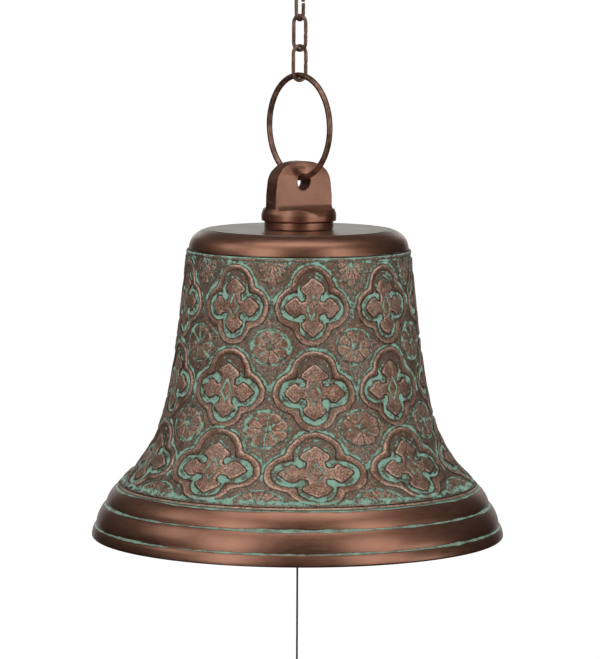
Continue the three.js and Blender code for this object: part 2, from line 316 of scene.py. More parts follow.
# -------- materials


class Nodes:
    """Short ways to add nodes to a node tree."""

    def __init__(self, tree):
        self.tree = tree

    def feed(self, socket, value):
        """A number or a list is the socket's own value, a tuple is a colour, and anything else is linked."""
        if isinstance(value, (int, float, list)):
            socket.default_value = value
        elif isinstance(value, tuple):
            socket.default_value = (*value, 1.0)
        else:
            self.tree.links.new(value, socket)

    def node(self, kind, inputs=(), **settings):
        """Adds a node and gives its outputs."""
        node = self.tree.nodes.new("ShaderNode" + kind)
        for name, setting in settings.items():
            setattr(node, name, setting)
        for key, value in dict(inputs).items():
            self.feed(node.inputs[key], value)
        return node.outputs

    def step(self, value, low, high, start=0.0, end=1.0):
        """Turns smoothly from start to end as value goes from low to high."""
        inputs = {"Value": value, "From Min": low, "From Max": high, "To Min": start, "To Max": end}
        return self.node("MapRange", inputs, interpolation_type="SMOOTHSTEP")["Result"]


class Surface(Nodes):
    """A node material with one Principled shader, and what drives it."""

    def __init__(self, name):
        self.material = bpy.data.materials.new(name)
        self.material.use_nodes = True
        super().__init__(self.material.node_tree)
        self.shader = self.tree.nodes["Principled BSDF"]
        self.place = self.node("TexCoord")["Object"]

    def noise(self, size, detail=3.0, roughness=0.55, stretch=(1, 1, 1)):
        """Noise from 0 to 1 whose grains are about size millimetres."""
        scale = [1 / (size * MM) * k for k in stretch]
        scaled = self.node("Mapping", {"Vector": self.place, "Scale": scale})["Vector"]
        inputs = {"Vector": scaled, "Scale": 1.0, "Detail": detail, "Roughness": roughness}
        return self.node("TexNoise", inputs)["Fac"]

    def value(self, name):
        return self.node("Attribute", attribute_name=name)["Fac"]

    def math(self, operation, a, b):
        return self.node("Math", {0: a, 1: b}, operation=operation)[0]

    def times(self, a, b):
        return self.math("MULTIPLY", a, b)

    def sum(self, *terms):
        """Adds terms: a value, (value, weight), or (value, weight, middle), middle being taken off first."""
        total = None
        for term in terms:
            value, weight, middle = (*term, 0)[:3] if isinstance(term, tuple) else (term, 1, 0)
            if middle:
                value = self.math("SUBTRACT", value, middle)
            if weight != 1:
                value = self.times(value, weight)
            total = value if total is None else self.math("ADD", total, value)
        return total

    def mix(self, amount, a, b):
        return self.node("Mix", {"Factor": amount, 6: a, 7: b}, data_type="RGBA")[2]

    def bump(self, height, strength, distance):
        inputs = {"Strength": strength, "Distance": distance * MM, "Height": height}
        self.feed(self.shader.inputs["Normal"], self.node("Bump", inputs)["Normal"])

    def set(self, **values):
        names = {"color": "Base Color", "coat": "Coat Weight"}
        for key, value in values.items():
            self.feed(self.shader.inputs[names.get(key, key.replace("_", " ").title())], value)


COPPER_BRIGHT = (0.43, 0.205, 0.132)
COPPER_MID = (0.32, 0.145, 0.09)
COPPER_DARK = (0.11, 0.048, 0.03)
WORN_BRIGHT_AND_HIGHLIGHT = (0.86, 0.56, 0.42)
WORN_MID = (0.45, 0.27, 0.198)
WORN_DARK = (0.15, 0.088, 0.066)
DUST = (0.31, 0.295, 0.238)
ANTIQUE_BROWN = (0.06, 0.036, 0.027)
STAIN_AND_SHADE_BROWN = (0.20, 0.09, 0.055)
ANTIQUE_BLACK_AND_SHADE = (0.018, 0.011, 0.008)
VERDIGRIS = (0.132, 0.273, 0.203)
VERDIGRIS_PALE = (0.205, 0.362, 0.28)
VERDIGRIS_DEEP = (0.06, 0.135, 0.102)
WALL_VALUES = ("height", "patina", "foot", "brown", "rub_and_highlight")  # what each vertex of the waist carries


def satin_copper():
    """Smooth antiqued copper under a thin lacquer, with verdigris where the groove value is high."""
    s = Surface("satin_copper")
    cloud = s.noise(46, 3)
    fine = s.noise(1.3, 4, 0.65)
    streak = s.noise(9, 4, 0.6, (1, 1, 7))
    tone = s.sum((cloud, 0.7), (streak, 0.3))
    copper = s.mix(s.step(tone, 0.36, 0.66), COPPER_MID, COPPER_BRIGHT)
    copper = s.mix(s.step(fine, 0.60, 0.80, 0.0, 0.25), copper, COPPER_DARK)
    groove = s.value("groove")
    copper = s.mix(s.step(groove, 0.12, 0.5, 0.0, 0.85), copper, COPPER_DARK)
    patchy = s.sum(groove, (s.noise(2.2, 4, 0.7), 0.9, 0.5), (s.noise(17, 2), 0.7, 0.5))
    green = s.times(s.step(patchy, 0.48, 0.66), s.step(groove, 0.3, 0.55))
    green = s.times(green, s.step(s.noise(8, 3), 0.38, 0.56, 0.6, 1.0))
    teal = s.mix(s.step(s.noise(5, 3), 0.35, 0.7), VERDIGRIS, VERDIGRIS_PALE)
    s.set(color=s.mix(s.times(green, 0.84), copper, teal), metallic=s.step(green, 0, 1, 1.0, 0.0))
    rough = s.sum(s.step(streak, 0.3, 0.7, 0.36, 0.43), (green, 0.4))
    s.set(roughness=rough, coat=0.45, coat_roughness=0.26)
    s.bump(s.sum(fine, (streak, 0.6)), 0.08, 0.2)
    return s.material


def embossed_copper():
    """The waist: dark antiqued copper, rubbed bright with a painted highlight on its crests and edges,
    painted shade at the feet of its relief and high in its frames, and verdigris in its hollows.
    """
    s = Surface("embossed_copper")
    grain = s.noise(1.1, 3, 0.6)
    pits = s.noise(2.1, 4, 0.7)
    cloud = s.noise(19, 3)
    patch = s.noise(6.5, 4, 0.6)
    height, hollow, foot, brown, rub_and_highlight = map(s.value, WALL_VALUES)
    copper = s.mix(s.step(s.sum((height, 0.6), (cloud, 0.4)), 0.28, 0.80), WORN_DARK, WORN_MID)
    # Bright where the rub value is high: partly wear, partly painted highlight on crests and edges.
    copper = s.mix(s.step(s.sum((rub_and_highlight, 0.75), (grain, 0.9)), 0.72, 1.10), copper, WORN_BRIGHT_AND_HIGHLIGHT)
    copper = s.mix(s.step(pits, 0.54, 0.70, 0.0, 0.6), copper, WORN_DARK)
    low = s.times(s.step(height, 0.3, 0.75, 0.78, 0.12), s.step(patch, 0.38, 0.62, 0.38, 1.0))
    copper = s.mix(low, copper, DUST)
    copper = s.mix(s.step(grain, 0.50, 0.64, 0.0, 0.52), copper, WORN_BRIGHT_AND_HIGHLIGHT)
    copper = s.mix(s.step(grain, 0.36, 0.52, 0.56, 0.0), copper, ANTIQUE_BROWN)
    stain_and_shade = s.times(s.step(cloud, 0.45, 0.60), s.step(patch, 0.38, 0.54))
    # Brown from the brown value is mostly painted shade high in the frames; the cloud and patch part is
    # random stain.
    stain_and_shade = s.math("MAXIMUM", s.times(stain_and_shade, 0.78), s.times(brown, 0.88))
    copper = s.mix(s.times(stain_and_shade, s.step(grain, 0.5, 0.7, 1.0, 0.45)), copper, STAIN_AND_SHADE_BROWN)
    # Near-black at the feet of the relief: partly antiquing wax, partly painted shade where raised edges
    # meet the ground.
    copper = s.mix(s.step(s.sum(foot, (grain, 0.35)), 0.55, 1.0, 0.0, 0.92), copper, ANTIQUE_BLACK_AND_SHADE)
    loose = s.sum(hollow, (patch, 1.9, 0.5), (pits, 1.5, 0.5), (grain, 1.3, 0.5), (foot, -0.35))
    copper = s.mix(s.step(loose, 0.08, 0.42, 0.0, 0.24), copper, VERDIGRIS)
    fringe = s.times(s.step(loose, 0.31, 0.43), s.step(loose, 0.47, 0.59, 1.0, 0.0))
    copper = s.mix(s.times(fringe, 0.6), copper, ANTIQUE_BROWN)
    green = s.step(loose, 0.435, 0.695, 0.0, 0.92)
    teal = s.mix(s.step(patch, 0.35, 0.68), VERDIGRIS, VERDIGRIS_PALE)
    teal = s.mix(s.step(grain, 0.52, 0.68, 0.0, 0.65), teal, VERDIGRIS_DEEP)
    s.set(color=s.mix(green, copper, teal), metallic=s.step(green, 0, 1, 0.85, 0.0))
    s.set(roughness=s.step(green, 0, 1, s.step(grain, 0.3, 0.7, 0.42, 0.58), 0.86))
    s.bump(s.sum(grain, (pits, 0.8)), 0.9, 0.45)
    return s.material


def two_noise_metal(name, slow, fine, colours, spans, metallic):
    """Starts a metal that drifts between two colours, with specks of a third. Gives its two noises too."""
    s = Surface(name)
    drift, grit = s.noise(*slow), s.noise(*fine)
    base = s.mix(s.step(drift, *spans[0]), colours[0], colours[1])
    s.set(color=s.mix(s.step(grit, *spans[1]), base, colours[2]), metallic=metallic)
    return s, drift, grit


def inside_copper():
    """The bell's unpolished inner wall, cast and browned."""
    colours = (0.17, 0.108, 0.08), (0.31, 0.205, 0.155), (0.08, 0.05, 0.038)
    spans = (0.35, 0.7), (0.55, 0.75, 0, 0.5)
    s, _, sand = two_noise_metal("cast_inside", (30, 4), (1.2, 5, 0.7), colours, spans, 0.4)
    s.set(roughness=s.step(sand, 0.3, 0.7, 0.5, 0.68))
    s.bump(sand, 0.5, 0.4)
    return s.material


def wire_copper():
    """Drawn wire with a dark copper finish, worn lighter in streaks along it."""
    colours = (0.18, 0.10, 0.072), (0.42, 0.24, 0.18), (0.05, 0.028, 0.021)
    spans = (0.34, 0.68), (0.58, 0.76, 0, 0.6)
    s, wear, fine = two_noise_metal("wire_copper", (5, 4, 0.6), (0.8, 3, 0.65), colours, spans, 0.95)
    s.set(roughness=s.step(fine, 0.3, 0.7, 0.32, 0.46))
    s.bump(s.sum(fine, wear), 0.25, 0.12)
    return s.material


def zinc_steel():
    colours = (0.33, 0.33, 0.33), (0.5, 0.5, 0.49), (0.16, 0.13, 0.11)
    spans = (0.4, 0.6), (0.6, 0.8, 0, 0.5)
    s, spangle, fine = two_noise_metal("zinc_steel", (3.2, 2), (0.7, 4, 0.7), colours, spans, 1.0)
    s.set(roughness=s.step(spangle, 0.3, 0.7, 0.34, 0.5))
    s.bump(fine, 0.2, 0.15)
    return s.material


def black_iron():
    colours = (0.06, 0.054, 0.05), (0.15, 0.13, 0.118), (0.17, 0.095, 0.06)
    spans = (0.38, 0.7), (0.58, 0.78, 0, 0.5)
    s, _, sand = two_noise_metal("black_iron", (9, 4, 0.6), (1.1, 5, 0.7), colours, spans, 0.7)
    s.set(roughness=s.step(sand, 0.3, 0.7, 0.46, 0.66))
    s.bump(sand, 0.5, 0.4)
    return s.material


def waxed_string():
    s = Surface("waxed_string")
    fibre = s.noise(0.35, 3, 0.7, (1, 1, 0.35))
    s.set(color=s.mix(s.step(fibre, 0.35, 0.7), (0.008, 0.008, 0.009), (0.035, 0.034, 0.033)))
    s.set(roughness=s.step(fibre, 0.3, 0.7, 0.6, 0.85))
    s.bump(fibre, 0.5, 0.08)
    return s.material


COPPER = satin_copper()
EMBOSSED = embossed_copper()
INSIDE = inside_copper()
WIRE = wire_copper()
STEEL = zinc_steel()
IRON = black_iron()
STRING = waxed_string()


# -------- pull string

STRING_RADIUS = 0.7
STRING_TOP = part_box("string")[1][2]
STRING_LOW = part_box("string")[0][2]
STRING_LAY = 5.0  # millimetres for one turn of its strands


def three_strands(twist, closed=False):
    """The section of a cord of three strands that turn through that many radians along it."""

    def section(count, turn):
        lay = np.linspace(0, twist, count, endpoint=not closed)[:, None]
        return 0.87 + 0.13 * np.abs(np.cos(1.5 * (turn[None, :] + lay)))

    return section


def make_string():
    height = np.linspace(local(STRING_TOP), local(STRING_LOW), 240)
    path = np.stack([0 * height, 0 * height, height], axis=1)
    strands = three_strands(2 * np.pi * ((STRING_TOP - STRING_LOW) / MM) / STRING_LAY)
    return finish_piece(swept("pull_string", path, STRING_RADIUS, 18, section=strands), STRING, "string")


def make_string_loop():
    centre = middle_level("string_loop")
    radius = reach("string_loop", 1) - STRING_RADIUS
    a = full_turn(96)
    path = np.stack([0 * a, radius * np.sin(a), centre + radius * np.cos(a)], axis=1)
    strands = three_strands(2 * np.pi * 4, closed=True)
    loop = swept("string_loop_cord", path, STRING_RADIUS, 14, closed=True, section=strands)
    return finish_piece(loop, STRING, "string_loop")


def make_knot(name, node):
    """A stopper knot: the cord wound in two slanting turns round itself."""
    wire = STRING_RADIUS * 0.98
    turns = 2
    low, high = levels(node)
    top = high - wire
    bottom = low + wire
    t = np.linspace(0, 1, 120)
    bulge = (reach(node) - wire) * (0.66 + 0.34 * np.sin(np.pi * t))
    a = 2 * np.pi * turns * t
    tilt = 0.32 * np.cos(a)
    height = top + (bottom - top) * t + tilt * (1 - t) * t * 4
    knot = swept(name, level_arc(bulge, height, a), wire, sides=12)
    return finish_piece(knot, STRING, node)


def make_pull_drop():
    half = reach("pull_drop", 2)
    swell = reach("pull_drop")
    bore = STRING_RADIUS + 0.25
    # Each point is (share of the drop's radius, share of its half height, cut).
    shape = ((0.34, 1, 0.5), (0.30, 0.80, 0.8), (0.42, 0.74, 0.4), (0.42, 0.66, 0.4), (0.34, 0.60, 0.8))
    shape += ((0.52, 0.20, 3.0), (1, -0.18, 2.8), (0.92, -0.62, 2.4), (0.48, -0.86, 1.2), (0.36, -1, 0.6))
    outline = [(bore, half), *((r * swell, h * half, cut) for r, h, cut in shape), (bore, -half)]
    drop = turned_piece("turned_drop", softened(outline, 6) + [0, middle_level("pull_drop")], 64)
    return finish_piece(drop, COPPER, "pull_drop")


string = make_string()
on_string = [make_string_loop()]
on_string += [make_knot("top_knot", "string_knot"), make_knot("end_knot", "string_end_knot")]
on_string.append(make_pull_drop())


# -------- embossed waist

SEAM_CROWN = -14.0
SEAM_LIP = -174.0
WALL = 3.0
COLUMNS = 9
COLUMN_PITCH = 360 / COLUMNS
FIRST_COLUMN = -29.0  # degrees round from -Y
FRAME_TURNS = [FIRST_COLUMN + COLUMN_PITCH * column for column in range(COLUMNS)]
SEAM_TURNS = [turn + COLUMN_PITCH / 2 for turn in FRAME_TURNS]
ROWS = ((31.5, 18.3), (86.5, 18.8), (140.5, 19.6))  # how far down the wall, and the half width in degrees
ROSETTE_ROWS = (58.5, 112.5)
MOTIF_HALF = 26.0
TOP_OF_RELIEF = 1.35
RELIEF_SEED = 27
FAR = 9.0  # a distance at which every line has faded out

WAIST = [(76.75, SEAM_CROWN), (76.7, -18), (79.3, -45), (82.9, -75), (87.4, -105), (93.6, -130)]
WAIST += [(101.4, -148), (110.8, -161), (118.3, -168.6), (123.0, SEAM_LIP)]
waist_line = along_spline(WAIST, 0.62)
ARC = np.concatenate([[0], np.cumsum(np.linalg.norm(np.diff(waist_line, axis=0), axis=1))])


def smooth(x, low, high):
    t = np.clip((x - low) / (high - low), 0, 1)
    return t * t * (3 - 2 * t)


def dome(x):
    """Rises from 0 to 1 like a quarter circle."""
    return np.sqrt(1 - (1 - np.clip(x, 0, 1)) ** 2)


def wrapped(degrees):
    return (degrees + 180) % 360 - 180


def highest(first, *others):
    for other in others:
        first = np.maximum(first, other)
    return first


def raise_to(field, values, mask=slice(None)):
    """Raises a field to the values where it is lower."""
    field[mask] = np.maximum(field[mask], values)


def ripple(x, y, seed, size):
    """Slow smooth waves between about -1 and 1, different for each seed."""
    rng = np.random.default_rng(seed)
    total = 0 * x
    for k in range(5):
        a = rng.uniform(0, 2 * np.pi)
        f = rng.uniform(0.6, 1.5) / size
        total = total + np.sin(2 * np.pi * f * (x * math.cos(a) + y * math.sin(a)) + rng.uniform(0, 6.28))
    return total / 3.2


def drawn_ripple(x, y, rng, size):
    return ripple(x, y, int(rng.integers(1e6)), size)


def wandering(x, y, rng):
    """x with long and short waves added, so that an outline drawn with it looks cut by hand."""
    return x + 0.4 * drawn_ripple(x, y, rng, 20) + 0.22 * drawn_ripple(x, y, rng, 7)


QUATREFOIL = ((0, -12, 14.7), (12.6, 1.5, 13.1), (-12.6, 1.5, 13.1), (0, 13.7, 12.6), (0, 1, 12.0))
LOBE_BLEND = 1.35  # how far the hollows between the lobes are filled


def quatrefoil_depth(u, v):
    """How far inside the four-lobed frame a point is."""
    depths = np.array([r - np.hypot(u - a, v - b) for a, b, r in QUATREFOIL])
    deepest = depths.max(axis=0)
    return deepest + LOBE_BLEND * np.log(np.exp((depths - deepest) / LOBE_BLEND).sum(axis=0))


# Half of one arm of the cross: how far out, and how wide there. It swells beyond its neck.
CROSS_ARM = ((4.8, 4.7), (6.8, 4.2), (8.6, 4.4), (9.6, 6.2), (10.9, 7.3), (12.5, 6.9))
CROSS_ARM += ((14.2, 5.5), (15.7, 3.7), (17.2, 1.7))
ARM_TIP = 18.3
ARM_NECK = 7.0
CROSS_ARMS = ((0, -1, 19.2, 1.13), (1, 0, 18.9, 0.9), (0, 1, 18.6, 0.98), (-1, 0, 18.9, 0.9))


def cross_outline():
    """Four ogee-tipped arms round a square middle. Each has a direction, a reach and a fullness."""
    corners = []
    for a, b, tip, full in CROSS_ARMS:
        stretch = (tip / ARM_TIP - 1) / (ARM_TIP - ARM_NECK)
        reach = [(t * (1 + stretch * max(t - ARM_NECK, 0)), w * full) for t, w in CROSS_ARM]
        before = [(a * t + b * w, b * t - a * w) for t, w in reach]
        after = [(a * t - b * w, b * t + a * w) for t, w in reversed(reach)]
        corners += [*before, (a * tip, b * tip), *after]
    return worn_corners(worn_corners(np.array(corners)))


def worn_corners(corners):
    """The closed outline with every corner cut off at a quarter of its sides."""
    after = np.roll(corners, -1, axis=0)
    cut = np.stack([0.75 * corners + 0.25 * after, 0.25 * corners + 0.75 * after], axis=1)
    return cut.reshape(-1, 2)


CROSS = cross_outline()
CROSS_LOW = 1.2  # how far below its frame's middle each cross sits
PETAL_CORNER = 0.42  # how round the petals' outer corners are


def polygon_depth(corners, u, v):
    """How far inside the polygon each point is, negative outside."""
    p = np.stack([u, v], axis=1)[:, None, :]
    a = corners[None, :, :]
    b = np.roll(corners, -1, axis=0)[None, :, :]
    edge = b - a
    t = np.clip(np.sum((p - a) * edge, axis=2) / np.sum(edge * edge, axis=2), 0, 1)
    near = np.linalg.norm(p - a - edge * t[:, :, None], axis=2).min(axis=1)
    above = (a[:, :, 1] > p[:, :, 1]) != (b[:, :, 1] > p[:, :, 1])
    with np.errstate(divide="ignore", invalid="ignore"):
        crossing = a[:, :, 0] + (p[:, :, 1] - a[:, :, 1]) * edge[:, :, 0] / edge[:, :, 1]
    inside = np.sum(above & (p[:, :, 0] < crossing), axis=1) % 2 == 1
    return np.where(inside, near, -near)


class Relief:
    """The wall's pattern: at each point its height in millimetres, and the other WALL_VALUES."""

    def __init__(self, s, degrees):
        self.s = s
        self.degrees = degrees
        self.mm_per_degree = np.interp(s, ARC, waist_line[:, 0]) * math.pi / 180
        self.height = np.full(s.shape, 0.62)
        self.patina = np.full(s.shape, 0.12)
        self.foot, self.brown, self.rub_and_highlight = np.zeros((3, *s.shape))

    def near(self, s_middle, middle, reach_s, reach_degrees):
        """The points near a place, and how far they are from it: degrees across, millimetres down."""
        turn = wrapped(self.degrees - middle)
        mask = (np.abs(self.s - s_middle) < reach_s) & (np.abs(turn) < reach_degrees)
        return mask, turn[mask], self.s[mask] - s_middle

    # A near-black line along a foot of the relief, partly antiquing and partly painted shade.
    def line_of_dark(self, mask, distance, width, strength):
        raise_to(self.foot, strength * hump(distance, width), mask)

    def quatrefoil(self, s_middle, half_width, middle, rng):
        """A four-lobed frame with a cross in it."""
        mask, turn, v = self.near(s_middle, middle, 33, half_width * 1.28)
        u = turn * MOTIF_HALF / half_width
        tilt = rng.normal(0, 0.02)
        u, v = u + tilt * v + rng.normal(0, 0.3), v - tilt * u + rng.normal(0, 0.3)
        u = wandering(u, v, rng)
        v = wandering(v, u, rng)
        inside = quatrefoil_depth(u, v)
        crest = 1.15
        wide = 3.6
        ridge = dome(inside / crest) * TOP_OF_RELIEF
        lowering = 1 - 0.42 * smooth(inside, crest + 0.2, wide)
        ridge = np.where(inside > crest, TOP_OF_RELIEF * lowering, ridge)
        channel = smooth(inside, wide - 0.2, wide + 0.7)
        # The ground falls away beside the ridge, outside and inside.
        outer = smooth(inside, -2.4, -1.2)
        ground = np.where(inside > 0, ridge, self.height[mask] * (1 - 0.8 * outer) + 0.05 * outer)
        bowl = 0.18 + 0.28 * smooth(-v, 7, 17) + 0.1 * drawn_ripple(u, v, rng, 9)
        drop = smooth(inside, wide - 0.35, wide + 0.25)
        ground = np.where(inside > wide - 0.35, ridge * (1 - drop) + bowl * drop, ground)

        y = v - CROSS_LOW
        cross = polygon_depth(CROSS, u * rng.uniform(0.96, 1.03), y * rng.uniform(0.96, 1.03))
        plate = smooth(cross, -0.35, 0.75) * (TOP_OF_RELIEF - 0.12) + 0.12 * smooth(cross, 0.5, 3.2)
        diamond = np.abs(u) / 3.7 + np.abs(y) / 7.6
        from_diamond = (diamond - 1) * 3.4  # about millimetres
        groove = hump(from_diamond, 0.6) * (cross > 0)
        arms = hump(np.minimum(np.abs(u), np.abs(y)), 0.45) * smooth(diamond, 1.3, 1.8) * (cross > 1)
        plate = plate - 0.6 * groove - 0.12 * arms
        self.height[mask] = np.where(cross > -0.35, np.maximum(ground, plate), ground)

        edge_band = hump(inside + 1.15, 1.35) * (0.26 + 0.54 * smooth(-v, -6, 5))
        lobe = smooth(-v, 6, 12)
        along_ridge = hump(inside - wide - 1.3, 1.8) * (0.86 - 0.5 * lobe)
        along_cross = hump(cross + 1, 1) * (0.74 - 0.2 * lobe)
        pool = 0.95 * channel * highest(along_ridge, along_cross, 0.38 - 0.3 * lobe)
        verdigris = np.where(inside > wide - 0.4, pool, np.maximum(self.patina[mask], edge_band))
        bare = (inside > 0.35) & (inside < wide - 0.4) | (cross > 0.1)
        verdigris = np.where(bare, 0.0, verdigris)
        in_groove = rng.uniform(0.75, 1.1) * groove
        at_cross = 0.6 * hump(cross + 0.6, 0.7) * (inside > wide)
        self.patina[mask] = highest(verdigris, in_groove, at_cross)

        shade = rng.uniform(0.25, 1.0)
        # Brown on the frame's inner slope, with painted shade making it darker towards the top of the frame,
        # where the slope faces down.
        slope = smooth(inside, crest + 0.3, wide - 0.5) * (inside < wide + 0.3)
        slope = slope * (0.3 + 0.5 * shade * smooth(-v, -2, 9))
        # Painted shade: brown on the floor of the upper lobe. The dark arms are stain.
        floor = channel * lobe * (cross < 0) * shade
        dark_arm = 0.6 * smooth(drawn_ripple(u, v, rng, 24), 0.1, 0.8) * (cross > 0)
        self.brown[mask] = np.where(inside > 0, highest(slope, floor, dark_arm), self.brown[mask])
        # Partly wear, partly painted highlight: brightest on the ridge's crest and the cross's edges.
        rubbed_and_highlight = highest(hump(inside - 0.85, 0.6), 0.85 * hump(cross - 0.8, 0.65), 0.34 * (cross > 0))
        self.rub_and_highlight[mask] = np.where(inside > -0.5, rubbed_and_highlight, self.rub_and_highlight[mask])
        self.line_of_dark(mask, inside - wide - 0.1, 0.5, 0.8)
        self.line_of_dark(mask, inside + 0.15, 0.5, 0.75)
        self.line_of_dark(mask, cross + 0.1, 0.5, 0.9)
        self.line_of_dark(mask, from_diamond, 0.3, 0.25)

    def petals(self, where, rng, count, length, longer=0, offset=0, button=2.1, limit=True, rim=0.58):
        """Petals round a button, with grooves between them. Those that point down may be longer."""
        mask, across, down = where
        rho = np.hypot(across, down)
        theta = np.degrees(np.arctan2(across, down))
        pitch = 360 / count
        index = np.round((theta - offset) / pitch)
        axis = np.radians(theta - offset - index * pitch)
        long = rho * np.cos(axis)
        wide = np.abs(rho * np.sin(axis))
        length = length + longer * hump(index * pitch + offset, 38)
        half_pitch = math.radians(pitch / 2)
        wedge = (long * math.tan(half_pitch) - wide) * math.cos(half_pitch) - 0.1
        scallop = length / 2 - np.hypot(long - length / 2, wide)
        inside = -PETAL_CORNER * np.logaddexp(-wedge / PETAL_CORNER, -scallop / PETAL_CORNER)
        inside = np.where(limit, np.where(rho < button + 0.7, -0.5, inside), -1)
        within = (rho < length + 1.3) & limit
        crease = 0.2 * hump(wide, 0.5) * smooth(long, length * 0.4, length * 0.7)
        h = np.where(inside > 0, 0.55 + 0.7 * dome(inside / 1.1) - crease, 0.2)
        h = np.where(rho < button, 0.2 + dome((button - rho) / button * 1.6) * 1.1, h)
        self.height[mask] = np.where(within, h, self.height[mask])
        green = rng.uniform(0.5, 0.85) * hump(np.minimum(inside, 0), 0.9) * (inside < 0.35)
        green = np.where(rho > length + 0.1, rim, green)
        self.patina[mask] = np.where(within, green, self.patina[mask])
        # Partly wear, partly painted highlight along the petals' crests.
        worn_and_highlight = np.maximum(0.75 * hump(inside - 0.8, 0.5), 0.3) * (inside > 0)
        self.rub_and_highlight[mask] = np.where(within, worn_and_highlight, self.rub_and_highlight[mask])
        self.line_of_dark(mask, np.where(within, inside, FAR), 0.36, 0.6)
        self.line_of_dark(mask, np.where(within, rho - button - 0.2, FAR), 0.4, 0.45)

    def rosette(self, s_middle, middle, rng):
        mask, turn, down = self.near(s_middle, middle, 16, 13)
        across = turn * 11.4 / 8.9
        a = rng.normal(0, 0.06)
        across, down = across + a * down, down - a * across
        grow = rng.uniform(0.97, 1.04)
        rho = np.hypot(across, down)
        edge = rho - 13.0 * grow
        self.height[mask] += 0.25 * hump(edge, 0.9)
        self.petals((mask, across, down), rng, 8, 11.5 * grow, offset=22.5)
        ring = hump(rho - 12.3 * grow, 1.0) * (0.3 + 0.42 * smooth(-down, -5, 4))
        raise_to(self.patina, ring, mask)
        self.line_of_dark(mask, edge + 1.6, 0.5, 0.6)

    def fan_above(self, middle, rng):
        """An upside-down fan hanging from the top border."""
        mask, turn, down = self.near(3.0, middle, 19, 9)
        where = (mask, turn * self.mm_per_degree[mask], down)
        self.petals(where, rng, 14, 9.8, longer=6.4, button=1.5, limit=down > 0.2, rim=0.3)

    def fan_below(self, middle, rng):
        """A half rosette standing on the bottom border."""
        mask, turn, down = self.near(168.0, middle, 15, 11)
        where = (mask, turn * 12.5 / 9.0, down)
        self.petals(where, rng, 12, 12.2, button=2.4, limit=down < -0.3, rim=0.72)

    def borders(self):
        """A bead under the crown and a thicker one on the lip, with verdigris beside them."""
        s = self.s
        bead = hump(s - 1.3, 0.75)
        self.height = self.height * smooth(s, 2.0, 3.6) + 1.25 * bead
        # Partly wear, partly painted highlight on the bead's crest.
        raise_to(self.rub_and_highlight, 0.6 * bead)
        patchy = 0.55 + 0.45 * ripple(self.degrees, 0 * s, 8, 90)
        for verdigris in (patchy * hump(s - 3.2, 1.1), 1.1 * hump(s, 1.0), 0.8 * hump(s - 165.2, 2.6)):
            raise_to(self.patina, verdigris)
        # A dark line at the foot of the crown bead, partly antiquing and partly painted shade.
        raise_to(self.foot, 0.55 * hump(s - 3.9, 0.5))
        low = smooth(s, 167.4, 168.3)
        self.height = self.height * (1 - low) + low * (0.3 + 1.05 * dome(1 - np.abs(s - 169.9) / 1.2))
        self.patina = np.where(low > 0.5, 0.0, self.patina)
        raise_to(self.patina, 1.25 * smooth(s, 170.5, 171.0))
        # Partly wear, partly painted highlight on the lip bead's crest.
        self.rub_and_highlight = np.maximum(self.rub_and_highlight * (1 - low), 0.9 * hump(s - 169.8, 0.7))
        # Dark lines at the feet of the lip bead, partly antiquing and partly painted shade.
        self.foot = highest(self.foot * (1 - low), 0.95 * hump(s - 168.5, 0.7), 0.3 * hump(s - 171.0, 0.3))

    def seams(self):
        """Verdigris lies in the seams between columns of frames."""
        for seam in SEAM_TURNS:
            for s_middle, _ in ROWS:
                mask, turn, down = self.near(s_middle + 2, seam, 16, 5)
                across = turn * self.mm_per_degree[mask]
                raise_to(self.patina, 0.66 * hump(across, 2.2) * hump(down, 8.5), mask)


def make_relief(s, degrees):
    relief = Relief(s, degrees)
    rng = np.random.default_rng(RELIEF_SEED)
    relief.seams()
    for s_middle, half_width in ROWS:
        for middle in FRAME_TURNS:
            relief.quatrefoil(s_middle, half_width, middle, rng)
    for middle in SEAM_TURNS:
        relief.fan_above(middle, rng)
        for s_middle in ROSETTE_ROWS:
            relief.rosette(s_middle, middle, rng)
        relief.fan_below(middle, rng)
    relief.borders()
    return relief


def normals_of(line):
    along = np.gradient(line, axis=0)
    along /= np.linalg.norm(along, axis=1)[:, None]
    return np.stack([-along[:, 1], along[:, 0]], axis=1)


def blurred(grid, times):
    """The grid with its sharp corners worn soft. Columns run round and close."""
    for _ in range(times):
        grid = (np.roll(grid, 1, axis=1) + 2 * grid + np.roll(grid, -1, axis=1)) / 4
        padded = np.vstack([grid[:1], grid, grid[-1:]])
        grid = (padded[:-2] + 2 * grid + padded[2:]) / 4
    return grid


